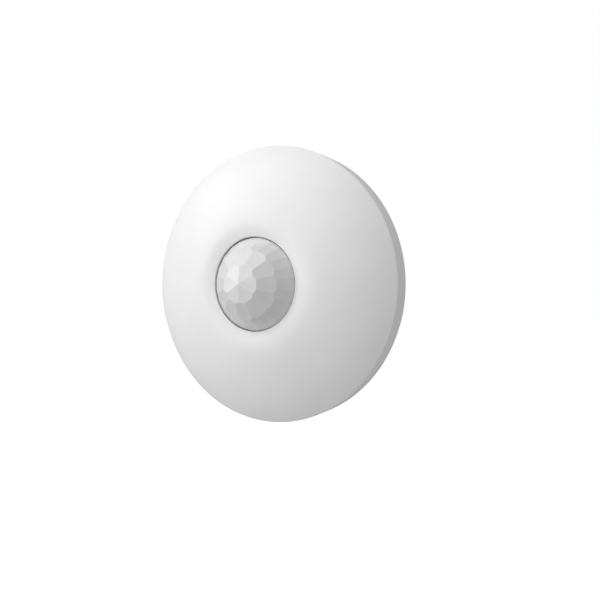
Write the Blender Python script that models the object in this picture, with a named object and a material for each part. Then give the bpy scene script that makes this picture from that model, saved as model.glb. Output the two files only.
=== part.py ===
"""Round 360 degree passive infrared motion sensor with a twist-off dome cover.

The object is drawn about its lens axis: X is right, Y is up and Z runs out of the lens, with the
mounting plane at Z = 0. The empty "sensor_axis" then turns that axis to face along world -Y, so the
sensor faces forward like one fixed to a wall, with its origin at the centre of its mounting face.
"""

import math

import bmesh
import bpy
from mathutils import Matrix, Vector

MM = 0.001
GAP = 0.3 * MM
PAST = 1 * MM  # how far a cutter runs past the face it cuts
ROOT = 0.5 * MM  # how far a joined shape reaches into the wall it stands on
TURN_STEPS = 60

# Mounting base
BASE_BACK_RADIUS = 53.9 * MM
BASE_RIM_RADIUS = 55.0 * MM
BASE_RIM_HEIGHT = 8.7 * MM
BASE_FLOOR = 2.2 * MM
BASE_WALL = 2.3 * MM
BASE_CHAMFER = 0.4 * MM
SLOT_RADIUS = 40.5 * MM
SLOT_WIDTH = 4.5 * MM
SLOT_LENGTH = 8.0 * MM

# Bayonet between base and cover
BAYONET_COUNT = 4
BAYONET_FIRST_ANGLE = 45.0
BAYONET_SPAN = 12.0
HOOK_INNER_RADIUS = 45.0 * MM
HOOK_STEM_OUTER_RADIUS = 47.0 * MM
HOOK_LIP_OUTER_RADIUS = 49.6 * MM
HOOK_TOP = 10.4 * MM
TAB_INNER_RADIUS = 47.4 * MM
TAB_BOTTOM = 6.6 * MM
TAB_TOP = 8.6 * MM
STOP_GAP_ANGLE = 2.5
STOP_SPAN = 3.0

# Cover
# Its outer and under curves: radius mm, height mm and fall in degrees, from the rim to the lens opening
COVER_CURVE = (
    (55.0, 9.0, 43.0),
    (50.0, 13.33, 38.2),
    (42.0, 18.50, 28.2),
    (34.0, 22.16, 21.6),
    (30.0, 23.60, 17.8),
    (26.6, 24.52, 11.0),
    (23.5, 24.85, 0.0),
    (21.2, 24.62, -11.0),
    (18.56, 23.82, -23.0),
)
UNDER_CURVE = (
    (50.2, 10.30, 39.0),
    (42.0, 15.90, 29.5),
    (34.0, 19.75, 22.0),
    (27.0, 22.05, 12.0),
    (23.5, 22.55, 2.0),
    (18.56, 21.62, -22.0),
)
LIP_OUTER_RADIUS = 52.2 * MM
LIP_INNER_RADIUS = 50.2 * MM
LIP_BOTTOM = 6.6 * MM

# Lens: a faceted dome of planes in three rings about a short round skirt
LENS_APEX = 35.89 * MM
LENS_WALL = 0.8 * MM
LENS_SKIRT_RADIUS = 18.05 * MM
LENS_RINGS = ((11.9, 6), (35.4, 12), (56.4, 24))
LENS_RING_EDGES = (7.33 * MM, 13.75 * MM)
FLANGE_RADIUS = 23.0 * MM
FLANGE_TOP = 21.2 * MM
FLANGE_THICKNESS = 1.2 * MM
RETAINER_INNER_RADIUS = 17.6 * MM
RETAINER_TOP = 19.7 * MM
RETAINER_THICKNESS = 1.4 * MM
STAKE_COUNT = 4
STAKE_FIRST_ANGLE = 45.0
STAKE_CIRCLE = 21.2 * MM
STAKE_RADIUS = 0.9 * MM
STAKE_HEAD = 0.6 * MM
STAKE_TOP = 23.2 * MM

# Circuit board
BOARD_RADIUS = 36.5 * MM
BOARD_BOTTOM = 8.4 * MM
BOARD_THICKNESS = 1.6 * MM
BOARD_TOP = BOARD_BOTTOM + BOARD_THICKNESS
ON_BOARD = BOARD_TOP + GAP
BOSS_CIRCLE = 32.0 * MM
BOSS_ANGLES = (90.0, 210.0, 330.0)
BOSS_RADIUS = 2.8 * MM
SCREW_SHANK_RADIUS = 1.1 * MM
SCREW_HEAD_RADIUS = 2.3 * MM
SCREW_HEAD_HEIGHT = 1.4 * MM
SCREW_TIP_RADIUS = 0.4 * MM
CROSS_ARM = 1.4 * MM
CROSS_HALF_WIDTH = 0.25 * MM
CROSS_DEPTH = 0.7 * MM

# Battery bay
CELL_RADIUS = 7.8 * MM
CELL_LENGTH = 27.0 * MM
CELL_Y = -28.0 * MM
CELL_HEIGHT = 11.6 * MM
HOLDER_HALF_LENGTH = 17.0 * MM
HOLDER_HALF_WIDTH = 8.6 * MM
HOLDER_TOP = 8.0 * MM
BAY_HALF_LENGTH = 17.4 * MM
BAY_EDGE_Y = -19.0 * MM
TROUGH_HALF_LENGTH = 16.2 * MM
CONTACT_THICKNESS = 0.5 * MM
CONTACT_HALF_WIDTH = 4.0 * MM
CONTACT_BOTTOM = 5.0 * MM
CONTACT_TOP = 15.0 * MM

# Infrared sensor
CAN_RADIUS = 4.1 * MM
CAN_FLANGE_RADIUS = 4.6 * MM
CAN_BOTTOM = 12.0 * MM
CAN_TOP = 15.2 * MM
WINDOW_HALF_LENGTH = 2.4 * MM
WINDOW_HALF_WIDTH = 2.0 * MM
WINDOW_THICKNESS = 0.4 * MM
LEAD_CIRCLE = 2.0 * MM
LEAD_RADIUS = 0.25 * MM
COLLAR_GAP = 0.4 * MM

# Wall tamper
TAMPER_X = 24.0 * MM
TAMPER_Y = 12.0 * MM
PLUNGER_RADIUS = 1.7 * MM
PLUNGER_HEAD_RADIUS = 2.7 * MM
PLUNGER_PROUD = 1.0 * MM
PLUNGER_HEAD_TOP = 3.6 * MM
TAMPER_SWITCH_BOTTOM = 6.4 * MM
TAMPER_SPRING_RADIUS = 1.9 * MM

# Controls on the board
SWITCH_HALF = 3.0 * MM
SWITCH_CHAMFER = 0.2 * MM
ENROL_AT = (-24.0 * MM, -8.0 * MM)
ENROL_HEIGHT = 3.4 * MM
ENROL_WELL_RADIUS = 1.8 * MM
ENROL_CAP_RADIUS = 1.5 * MM
DIP_AT = (24.0 * MM, -5.0 * MM)
DIP_HALF_WIDTH = 3.2 * MM
DIP_HALF_LENGTH = 4.0 * MM
DIP_HEIGHT = 2.6 * MM
DIP_SPACING = 1.4 * MM
DIP_SLOT_HALF_WIDTH = 0.9 * MM
DIP_SLOT_HALF_LENGTH = 2.4 * MM
SLIDER_HALF_WIDTH = 0.6 * MM
SLIDER_LENGTH = 2.1 * MM
TRIMMER_AT = (17.5 * MM, 20.5 * MM)
TRIMMER_HALF = 3.3 * MM
TRIMMER_HEIGHT = 2.4 * MM
TRIMMER_WELL_RADIUS = 2.7 * MM
ROTOR_RADIUS = 2.3 * MM

# Parts on the board
ANTENNA_Y = 25.0 * MM
ANTENNA_START = -8.0 * MM
ANTENNA_RADIUS = 2.2 * MM
ANTENNA_PITCH = 1.8 * MM
ANTENNA_TURNS = 7
CAPACITOR_RADIUS = 2.5 * MM
CAPACITOR_HEIGHT = 6.0 * MM
LED_AT = (11.5 * MM, 0.0)
LED_RADIUS = 1.5 * MM
LED_HEIGHT = 3.0 * MM


def clear_scene():
    for obj in list(bpy.data.objects):
        bpy.data.objects.remove(obj, do_unlink=True)


def add_axis():
    """The empty that carries every piece and turns the lens axis to world -Y."""
    axis = bpy.data.objects.new("sensor_axis", None)
    axis.rotation_euler = (math.radians(90), 0, 0)
    bpy.context.scene.collection.objects.link(axis)


def finish(name, colour, roughness, metallic=0.0):
    """A plain material for one kind of piece; colour is linear RGB."""
    material = bpy.data.materials.get(name) or bpy.data.materials.new(name)
    material.use_nodes = True
    shader = material.node_tree.nodes["Principled BSDF"]
    shader.inputs["Base Color"].default_value = (*colour, 1.0)
    shader.inputs["Roughness"].default_value = roughness
    shader.inputs["Metallic"].default_value = metallic
    return material


def white_abs():
    return finish("white_abs", (0.80, 0.80, 0.80), 0.45)


def lens_polyethylene():
    return finish("lens_polyethylene", (0.74, 0.74, 0.74), 0.38)


def board_laminate():
    return finish("board_laminate", (0.02, 0.15, 0.06), 0.5)


def black_plastic():
    return finish("black_plastic", (0.025, 0.025, 0.027), 0.5)


def plated_steel():
    return finish("plated_steel", (0.62, 0.62, 0.60), 0.3, 1.0)


def gold_wire():
    return finish("gold_wire", (0.75, 0.55, 0.20), 0.3, 1.0)


def cell_sleeve():
    return finish("cell_sleeve", (0.05, 0.10, 0.28), 0.35)


def control_plastic():
    return finish("control_plastic", (0.72, 0.70, 0.64), 0.4)


def silicon_window():
    return finish("silicon_window", (0.05, 0.05, 0.06), 0.15, 0.6)


def led_epoxy():
    return finish("led_epoxy", (0.60, 0.04, 0.03), 0.2)


def add_piece(name, mesh_builder, material, place=(0.0, 0.0, 0.0), turn=(0.0, 0.0, 0.0)):
    """Make one named object from a bmesh and hang it on the sensor's axis."""
    bmesh.ops.recalc_face_normals(mesh_builder, faces=mesh_builder.faces)
    mesh = bpy.data.meshes.new(name)
    mesh_builder.to_mesh(mesh)
    mesh_builder.free()
    obj = bpy.data.objects.new(name, mesh)
    obj.location = place
    obj.rotation_euler = turn
    obj.parent = bpy.data.objects["sensor_axis"]
    bpy.context.scene.collection.objects.link(obj)
    if material:
        mesh.materials.append(material)
        mesh.shade_smooth()
        mesh.set_sharp_from_angle(angle=math.radians(30))
    return obj


def add_cutter(name, mesh_builder, place=(0.0, 0.0, 0.0)):
    cutter = add_piece(name, mesh_builder, None, place)
    cutter.hide_render = True
    cutter.display_type = "WIRE"
    return cutter


def combine(obj, other, operation):
    boolean = obj.modifiers.new(operation.lower(), "BOOLEAN")
    boolean.operation = operation
    boolean.object = other
    boolean.solver = "EXACT"
    boolean.use_self = True


def turned(outline, steps=TURN_STEPS):
    """A closed outline of (radius, height) points turned once round the Z axis."""
    shape = bmesh.new()
    points = [shape.verts.new((radius, 0.0, height)) for radius, height in outline]
    sides = zip(points, points[1:] + points[:1])
    edges = [shape.edges.new(side) for side in sides if any(end.co.x > 0 for end in side)]
    bmesh.ops.spin(
        shape,
        geom=points + edges,
        axis=(0, 0, 1),
        cent=(0, 0, 0),
        angle=math.tau,
        steps=steps,
        use_merge=True,
    )
    bmesh.ops.remove_doubles(shape, verts=shape.verts, dist=1e-7)
    bmesh.ops.dissolve_degenerate(shape, edges=shape.edges, dist=1e-7)
    return shape


def rod(radius, bottom, top, steps=16, centre=(0.0, 0.0)):
    """A solid cylinder standing on the XY plane."""
    shape = bmesh.new()
    bmesh.ops.create_cone(
        shape, cap_ends=True, segments=steps, radius1=radius, radius2=radius, depth=top - bottom
    )
    bmesh.ops.translate(shape, verts=shape.verts, vec=(*centre, (top + bottom) / 2))
    return shape


def block(low, high, bevel=0.0):
    """A box between two corners, with its edges rounded off by one chamfer."""
    shape = bmesh.new()
    size = [b - a for a, b in zip(low, high)]
    middle = [(a + b) / 2 for a, b in zip(low, high)]
    bmesh.ops.create_cube(shape, size=1.0, matrix=Matrix.Diagonal((*size, 1.0)))
    bmesh.ops.translate(shape, verts=shape.verts, vec=middle)
    if bevel:
        bmesh.ops.bevel(shape, geom=shape.edges, offset=bevel, segments=1, affect="EDGES")
    return shape


def extruded(outline, bottom, top):
    """A flat closed outline of (x, y) points raised from one height to another."""
    shape = bmesh.new()
    face = shape.faces.new([shape.verts.new((x, y, bottom)) for x, y in outline])
    raised = bmesh.ops.extrude_face_region(shape, geom=[face])
    tops = [item for item in raised["geom"] if isinstance(item, bmesh.types.BMVert)]
    bmesh.ops.translate(shape, verts=tops, vec=(0, 0, top - bottom))
    return shape


def ring_sector(inner, outer, bottom, top, middle_deg, span_deg, steps=4):
    """A block bent round the Z axis, such as a bayonet hook or tab."""
    start = math.radians(middle_deg - span_deg / 2)
    sweep = math.radians(span_deg)
    angles = [start + sweep * i / steps for i in range(steps + 1)]
    outside = [(outer * math.cos(a), outer * math.sin(a)) for a in angles]
    inside = [(inner * math.cos(a), inner * math.sin(a)) for a in reversed(angles)]
    return extruded(outside + inside, bottom, top)


def merged(shapes):
    """Several separate shapes in one bmesh, to cut or to join in a single Boolean."""
    together = bmesh.new()
    for shape in shapes:
        mesh = bpy.data.meshes.new("scratch")
        shape.to_mesh(mesh)
        shape.free()
        together.from_mesh(mesh)
        bpy.data.meshes.remove(mesh)
    return together


def on_circle(radius, degrees):
    angle = math.radians(degrees)
    return radius * math.cos(angle), radius * math.sin(angle)


def bayonet_angles():
    return [BAYONET_FIRST_ANGLE + 360.0 / BAYONET_COUNT * i for i in range(BAYONET_COUNT)]


def slot_outline(x, y, width, length, steps=6):
    """A round-ended slot along Y, as (x, y) points."""
    radius = width / 2
    reach = length / 2 - radius
    points = []
    for end, first in ((1, 0.0), (-1, math.pi)):
        for i in range(steps + 1):
            angle = first + math.pi * i / steps
            points.append((x + radius * math.cos(angle), y + end * reach + radius * math.sin(angle)))
    return points


def base_outline():
    inner_back = BASE_BACK_RADIUS - BASE_WALL
    inner_rim = BASE_RIM_RADIUS - BASE_WALL
    return [
        (0.0, 0.0),
        (0.0, BASE_FLOOR),
        (inner_back, BASE_FLOOR),
        (inner_rim, BASE_RIM_HEIGHT),
        (BASE_RIM_RADIUS, BASE_RIM_HEIGHT),
        (BASE_BACK_RADIUS, BASE_CHAMFER),
        (BASE_BACK_RADIUS - BASE_CHAMFER, 0.0),
    ]


def base_hooks():
    """L-shaped bayonet hooks: a stem on the floor and a lip that reaches out over the cover's tab."""
    into_floor = BASE_FLOOR - ROOT
    lip_bottom = TAB_TOP + GAP
    inside_stem = HOOK_STEM_OUTER_RADIUS - ROOT
    shapes = []
    for angle in bayonet_angles():
        shapes.append(
            ring_sector(
                HOOK_INNER_RADIUS, HOOK_STEM_OUTER_RADIUS, into_floor, HOOK_TOP, angle, BAYONET_SPAN
            )
        )
        shapes.append(
            ring_sector(
                inside_stem, HOOK_LIP_OUTER_RADIUS, lip_bottom, HOOK_TOP, angle, BAYONET_SPAN - 1.0
            )
        )
    return merged(shapes)


def base_stops():
    """Posts beside the hooks that end the cover's turn in the locked position."""
    shapes = []
    for angle in bayonet_angles():
        shapes.append(
            ring_sector(
                TAB_INNER_RADIUS + 0.4 * MM,
                HOOK_LIP_OUTER_RADIUS,
                BASE_FLOOR - ROOT,
                TAB_TOP,
                angle - BAYONET_SPAN / 2 - STOP_GAP_ANGLE,
                STOP_SPAN,
                steps=1,
            )
        )
    return merged(shapes)


def base_bosses():
    shapes = []
    for angle in BOSS_ANGLES:
        centre = on_circle(BOSS_CIRCLE, angle)
        shapes.append(rod(BOSS_RADIUS, BASE_FLOOR - ROOT, BOARD_BOTTOM - GAP, 16, centre))
    return merged(shapes)


def base_holes():
    """Two screw slots, the bores of the board screws and the guide of the tamper plunger."""
    shapes = []
    for side in (1, -1):
        outline = slot_outline(side * SLOT_RADIUS, 0.0, SLOT_WIDTH, SLOT_LENGTH)
        shapes.append(extruded(outline, -PAST, BASE_FLOOR + PAST))
    for angle in BOSS_ANGLES:
        centre = on_circle(BOSS_CIRCLE, angle)
        shapes.append(rod(SCREW_SHANK_RADIUS + GAP, BASE_FLOOR, BOARD_BOTTOM + PAST, 16, centre))
    guide = (TAMPER_X, TAMPER_Y)
    shapes.append(rod(PLUNGER_RADIUS + GAP, -PAST, BASE_FLOOR + PAST, 16, guide))
    return merged(shapes)


def make_base():
    base = add_piece("mounting_base", turned(base_outline()), white_abs())
    combine(base, add_cutter("hook_shapes", base_hooks()), "UNION")
    combine(base, add_cutter("stop_shapes", base_stops()), "UNION")
    combine(base, add_cutter("boss_shapes", base_bosses()), "UNION")
    combine(base, add_cutter("hole_shapes", base_holes()), "DIFFERENCE")


def knot_curve(knots, steps):
    """Points of the smooth curve through knots of (radius mm, height mm, fall in degrees)."""
    points = []
    for (r0, z0, fall0), (r1, z1, fall1) in zip(knots, knots[1:]):
        run = r1 - r0
        rise0 = -math.tan(math.radians(fall0)) * run
        rise1 = -math.tan(math.radians(fall1)) * run
        for i in range(steps):
            t = i / steps
            height = (
                (2 * t**3 - 3 * t**2 + 1) * z0
                + (t**3 - 2 * t**2 + t) * rise0
                + (3 * t**2 - 2 * t**3) * z1
                + (t**3 - t**2) * rise1
            )
            points.append(((r0 + run * t) * MM, height * MM))
    return points + [(knots[-1][0] * MM, knots[-1][1] * MM)]


def cover_outline():
    outside = knot_curve(COVER_CURVE, 2)
    inside = knot_curve(UNDER_CURVE, 2)
    lip = [
        (LIP_INNER_RADIUS, LIP_BOTTOM),
        (LIP_OUTER_RADIUS, LIP_BOTTOM),
        (LIP_OUTER_RADIUS, outside[0][1]),
    ]
    return outside + list(reversed(inside)) + lip


def cover_tabs():
    shapes = []
    for angle in bayonet_angles():
        shapes.append(
            ring_sector(
                TAB_INNER_RADIUS, LIP_INNER_RADIUS + ROOT, TAB_BOTTOM, TAB_TOP, angle, BAYONET_SPAN
            )
        )
    return merged(shapes)


def stake_centres():
    step = 360.0 / STAKE_COUNT
    return [on_circle(STAKE_CIRCLE, STAKE_FIRST_ANGLE + step * i) for i in range(STAKE_COUNT)]


def cover_stakes():
    """Pins inside the opening that the lens and its ring are staked on."""
    bottom = RETAINER_TOP - RETAINER_THICKNESS - STAKE_HEAD
    shapes = []
    for centre in stake_centres():
        shapes.append(rod(STAKE_RADIUS, bottom, STAKE_TOP, 12, centre))
    return merged(shapes)


def make_cover():
    cover = add_piece("front_cover", turned(cover_outline()), white_abs())
    combine(cover, add_cutter("tab_shapes", cover_tabs()), "UNION")
    combine(cover, add_cutter("stake_shapes", cover_stakes()), "UNION")


def ring_planes(inset):
    """The lens's planes as (normal, point) pairs, moved in by inset."""
    planes = []
    height = LENS_APEX
    radius = 0.0
    for ring, (tilt_deg, count) in enumerate(LENS_RINGS):
        tilt = math.radians(tilt_deg)
        for i in range(count):
            azimuth = math.tau * i / count
            normal = Vector(
                (math.sin(tilt) * math.cos(azimuth), math.sin(tilt) * math.sin(azimuth), math.cos(tilt))
            )
            point = Vector((radius * math.cos(azimuth), radius * math.sin(azimuth), height))
            planes.append((normal, point - normal * inset))
        if ring < len(LENS_RING_EDGES):
            edge = LENS_RING_EDGES[ring]
            height -= math.tan(tilt) * (edge - radius)
            radius = edge
    return planes


def faceted_dome(skirt_radius, bottom, inset):
    """A round column cut to the lens's planes."""
    shape = rod(skirt_radius, bottom, LENS_APEX + 2 * PAST, TURN_STEPS)
    for normal, point in ring_planes(inset):
        everything = list(shape.verts) + list(shape.edges) + list(shape.faces)
        bmesh.ops.bisect_plane(
            shape, geom=everything, dist=1e-8, plane_co=point, plane_no=normal, clear_outer=True
        )
        rim = [edge for edge in shape.edges if edge.is_boundary]
        bmesh.ops.holes_fill(shape, edges=rim, sides=0)
    bmesh.ops.remove_doubles(shape, verts=shape.verts, dist=1e-6)
    return shape


def make_lens():
    flange_bottom = FLANGE_TOP - FLANGE_THICKNESS
    lens = add_piece("lens", faceted_dome(LENS_SKIRT_RADIUS, flange_bottom, 0.0), lens_polyethylene())
    flange = rod(FLANGE_RADIUS, flange_bottom, FLANGE_TOP, TURN_STEPS)
    combine(lens, add_cutter("flange_shape", flange), "UNION")
    hollow = faceted_dome(LENS_SKIRT_RADIUS - LENS_WALL, flange_bottom - 2 * PAST, LENS_WALL)
    combine(lens, add_cutter("lens_hollow", hollow), "DIFFERENCE")
    combine(lens, add_cutter("flange_holes", stake_holes()), "DIFFERENCE")


def stake_holes():
    bottom = RETAINER_TOP - RETAINER_THICKNESS - PAST
    shapes = []
    for centre in stake_centres():
        shapes.append(rod(STAKE_RADIUS + GAP, bottom, FLANGE_TOP + PAST, 12, centre))
    return merged(shapes)


def make_lens_retainer():
    bottom = RETAINER_TOP - RETAINER_THICKNESS
    outline = [
        (RETAINER_INNER_RADIUS, bottom),
        (RETAINER_INNER_RADIUS, RETAINER_TOP),
        (FLANGE_RADIUS, RETAINER_TOP),
        (FLANGE_RADIUS, bottom),
    ]
    ring = add_piece("lens_retainer", turned(outline), white_abs())
    combine(ring, add_cutter("retainer_holes", stake_holes()), "DIFFERENCE")


def make_board():
    board = add_piece(
        "main_board", rod(BOARD_RADIUS, BOARD_BOTTOM, BOARD_TOP, TURN_STEPS), board_laminate()
    )
    bay = block(
        (-BAY_HALF_LENGTH, -BOARD_RADIUS - PAST, BOARD_BOTTOM - PAST),
        (BAY_HALF_LENGTH, BAY_EDGE_Y, BOARD_TOP + PAST),
    )
    combine(board, add_cutter("battery_bay", bay), "DIFFERENCE")
    holes = []
    for angle in BOSS_ANGLES:
        centre = on_circle(BOSS_CIRCLE, angle)
        holes.append(rod(SCREW_SHANK_RADIUS + GAP, BOARD_BOTTOM - PAST, BOARD_TOP + PAST, 16, centre))
    combine(board, add_cutter("board_holes", merged(holes)), "DIFFERENCE")


def screw_outline(head_top):
    shank_bottom = BASE_FLOOR + 1.2 * MM
    return [
        (0.0, shank_bottom),
        (0.0, head_top),
        (SCREW_HEAD_RADIUS * 0.8, head_top),
        (SCREW_HEAD_RADIUS, head_top - 0.5 * MM),
        (SCREW_HEAD_RADIUS, ON_BOARD),
        (SCREW_SHANK_RADIUS, ON_BOARD),
        (SCREW_SHANK_RADIUS, shank_bottom + 0.6 * MM),
        (SCREW_TIP_RADIUS, shank_bottom),
    ]


def cross_recess(head_top):
    low = head_top - CROSS_DEPTH
    high = head_top + PAST
    return merged(
        [
            block((-CROSS_ARM, -CROSS_HALF_WIDTH, low), (CROSS_ARM, CROSS_HALF_WIDTH, high)),
            block((-CROSS_HALF_WIDTH, -CROSS_ARM, low), (CROSS_HALF_WIDTH, CROSS_ARM, high)),
        ]
    )


def make_board_screws():
    head_top = ON_BOARD + SCREW_HEAD_HEIGHT
    for number, angle in enumerate(BOSS_ANGLES, 1):
        place = (*on_circle(BOSS_CIRCLE, angle), 0.0)
        name = f"board_screw_{number}"
        screw = add_piece(name, turned(screw_outline(head_top), 16), plated_steel(), place)
        combine(screw, add_cutter(f"cross_{number}", cross_recess(head_top), place), "DIFFERENCE")


def make_sensor():
    """The pyroelectric detector: a metal can with a window, three leads and a collar round it."""
    collar = [
        (CAN_FLANGE_RADIUS + COLLAR_GAP, ON_BOARD),
        (CAN_FLANGE_RADIUS + COLLAR_GAP, CAN_TOP - 1.4 * MM),
        (CAN_FLANGE_RADIUS + 2.0 * MM, CAN_TOP - 1.4 * MM),
        (CAN_FLANGE_RADIUS + 3.2 * MM, ON_BOARD),
    ]
    add_piece("sensor_collar", turned(collar, 32), black_plastic())
    can = [
        (0.0, CAN_BOTTOM),
        (0.0, CAN_TOP),
        (CAN_RADIUS - 0.3 * MM, CAN_TOP),
        (CAN_RADIUS, CAN_TOP - 0.3 * MM),
        (CAN_RADIUS, CAN_BOTTOM + 0.5 * MM),
        (CAN_FLANGE_RADIUS, CAN_BOTTOM + 0.5 * MM),
        (CAN_FLANGE_RADIUS, CAN_BOTTOM),
    ]
    add_piece("sensor_can", turned(can, 32), plated_steel())
    window_bottom = CAN_TOP + GAP
    window = block(
        (-WINDOW_HALF_LENGTH, -WINDOW_HALF_WIDTH, window_bottom),
        (WINDOW_HALF_LENGTH, WINDOW_HALF_WIDTH, window_bottom + WINDOW_THICKNESS),
    )
    add_piece("sensor_window", window, silicon_window())
    for number, angle in enumerate(BOSS_ANGLES, 1):
        centre = on_circle(LEAD_CIRCLE, angle)
        lead = rod(LEAD_RADIUS, ON_BOARD, CAN_BOTTOM - GAP, 8, centre)
        add_piece(f"sensor_lead_{number}", lead, gold_wire())


def make_battery():
    half = CELL_LENGTH / 2
    cell = [
        (0.0, -half),
        (0.0, half),
        (2.6 * MM, half),
        (2.6 * MM, half - 0.7 * MM),
        (CELL_RADIUS - 0.5 * MM, half - 0.7 * MM),
        (CELL_RADIUS, half - 1.2 * MM),
        (CELL_RADIUS, 0.4 * MM - half),
        (CELL_RADIUS - 0.4 * MM, -half),
    ]
    sideways = (0, math.radians(90), 0)
    add_piece("battery_cell", turned(cell, 32), cell_sleeve(), (0, CELL_Y, CELL_HEIGHT), sideways)
    holder = block(
        (-HOLDER_HALF_LENGTH, CELL_Y - HOLDER_HALF_WIDTH, BASE_FLOOR + GAP),
        (HOLDER_HALF_LENGTH, CELL_Y + HOLDER_HALF_WIDTH, HOLDER_TOP),
    )
    holder_piece = add_piece("battery_holder", holder, black_plastic())
    trough = rod(CELL_RADIUS + GAP, -TROUGH_HALF_LENGTH, TROUGH_HALF_LENGTH, 32)
    bmesh.ops.rotate(trough, verts=trough.verts, matrix=Matrix.Rotation(math.radians(90), 3, "Y"))
    cutter = add_cutter("holder_trough", trough, (0, CELL_Y, CELL_HEIGHT))
    combine(holder_piece, cutter, "DIFFERENCE")
    make_battery_contacts(half)


def make_battery_contacts(half):
    plate_inner = half + GAP
    plate = block(
        (plate_inner, CELL_Y - CONTACT_HALF_WIDTH, CONTACT_BOTTOM),
        (plate_inner + CONTACT_THICKNESS, CELL_Y + CONTACT_HALF_WIDTH, CONTACT_TOP),
    )
    add_piece("battery_plate", plate, plated_steel())
    coils = 3.0
    length = TROUGH_HALF_LENGTH - GAP - half
    path = []
    steps = 30
    for i in range(steps + 1):
        t = i / steps
        radius = 3.4 * MM - 1.2 * MM * t
        angle = math.tau * coils * t
        path.append(
            (
                -half - length + (length - 0.6 * MM) * t + 0.25 * MM,
                CELL_Y + radius * math.cos(angle),
                CELL_HEIGHT + radius * math.sin(angle),
            )
        )
    add_wire("battery_spring", path, 0.25 * MM, plated_steel())


def add_wire(name, path, radius, material):
    """A round wire bent along a path of points."""
    curve = bpy.data.curves.new(name, "CURVE")
    curve.dimensions = "3D"
    curve.bevel_depth = radius
    curve.bevel_resolution = 1
    curve.use_fill_caps = True
    spline = curve.splines.new("POLY")
    spline.points.add(len(path) - 1)
    for point, place in zip(spline.points, path):
        point.co = (*place, 1.0)
    obj = bpy.data.objects.new(name, curve)
    obj.parent = bpy.data.objects["sensor_axis"]
    curve.materials.append(material)
    bpy.context.scene.collection.objects.link(obj)


def make_tamper():
    """A sprung plunger that the wall pushes in, under a switch on the back of the board."""
    tip = -PLUNGER_PROUD
    outline = [
        (0.0, tip),
        (0.0, PLUNGER_HEAD_TOP),
        (PLUNGER_HEAD_RADIUS, PLUNGER_HEAD_TOP),
        (PLUNGER_HEAD_RADIUS, BASE_FLOOR + GAP),
        (PLUNGER_RADIUS, BASE_FLOOR + GAP),
        (PLUNGER_RADIUS, tip + 0.5 * MM),
        (PLUNGER_RADIUS - 0.5 * MM, tip),
    ]
    place = (TAMPER_X, TAMPER_Y, 0.0)
    add_piece("tamper_plunger", turned(outline, 24), control_plastic(), place)
    switch = block(
        (-SWITCH_HALF, -SWITCH_HALF, TAMPER_SWITCH_BOTTOM),
        (SWITCH_HALF, SWITCH_HALF, BOARD_BOTTOM - GAP),
        SWITCH_CHAMFER,
    )
    add_piece("tamper_switch", switch, black_plastic(), place)
    make_tamper_spring()


def make_tamper_spring():
    wire = 0.2 * MM
    bottom = PLUNGER_HEAD_TOP + wire + 0.1 * MM
    top = TAMPER_SWITCH_BOTTOM - wire - 0.1 * MM
    coils = 3.5
    steps = 42
    path = []
    for i in range(steps + 1):
        t = i / steps
        angle = math.tau * coils * t
        path.append(
            (
                TAMPER_X + TAMPER_SPRING_RADIUS * math.cos(angle),
                TAMPER_Y + TAMPER_SPRING_RADIUS * math.sin(angle),
                bottom + (top - bottom) * t,
            )
        )
    add_wire("tamper_spring", path, wire, plated_steel())


def make_enrol_button():
    body_top = ON_BOARD + ENROL_HEIGHT
    place = (*ENROL_AT, 0.0)
    body = block(
        (-SWITCH_HALF, -SWITCH_HALF, ON_BOARD), (SWITCH_HALF, SWITCH_HALF, body_top), SWITCH_CHAMFER
    )
    switch = add_piece("enrol_switch", body, black_plastic(), place)
    well = rod(ENROL_WELL_RADIUS, body_top - 1.2 * MM, body_top + PAST, 24)
    combine(switch, add_cutter("enrol_well", well, place), "DIFFERENCE")
    cap = [
        (0.0, body_top - 0.6 * MM),
        (0.0, body_top + 1.4 * MM),
        (ENROL_CAP_RADIUS - 0.3 * MM, body_top + 1.4 * MM),
        (ENROL_CAP_RADIUS, body_top + 1.1 * MM),
        (ENROL_CAP_RADIUS, body_top - 0.6 * MM),
    ]
    add_piece("enrol_button", turned(cap, 24), control_plastic(), place)


def make_dip_switch():
    """Two sliders in one housing, each in its own slot along Y."""
    body_top = ON_BOARD + DIP_HEIGHT
    place = (*DIP_AT, 0.0)
    body = block(
        (-DIP_HALF_WIDTH, -DIP_HALF_LENGTH, ON_BOARD),
        (DIP_HALF_WIDTH, DIP_HALF_LENGTH, body_top),
        SWITCH_CHAMFER,
    )
    housing = add_piece("dip_switch", body, black_plastic(), place)
    slots = []
    for side in (-1, 1):
        x = side * DIP_SPACING
        slots.append(
            block(
                (x - DIP_SLOT_HALF_WIDTH, -DIP_SLOT_HALF_LENGTH, body_top - 1.4 * MM),
                (x + DIP_SLOT_HALF_WIDTH, DIP_SLOT_HALF_LENGTH, body_top + PAST),
            )
        )
    combine(housing, add_cutter("dip_slots", merged(slots), place), "DIFFERENCE")
    for number, side in enumerate((-1, 1), 1):
        x = DIP_AT[0] + side * DIP_SPACING
        slider = block(
            (-SLIDER_HALF_WIDTH, -SLIDER_LENGTH, body_top - 1.1 * MM),
            (SLIDER_HALF_WIDTH, 0.0, body_top + 0.7 * MM),
        )
        add_piece(f"dip_slider_{number}", slider, control_plastic(), (x, DIP_AT[1], 0.0))


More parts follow.
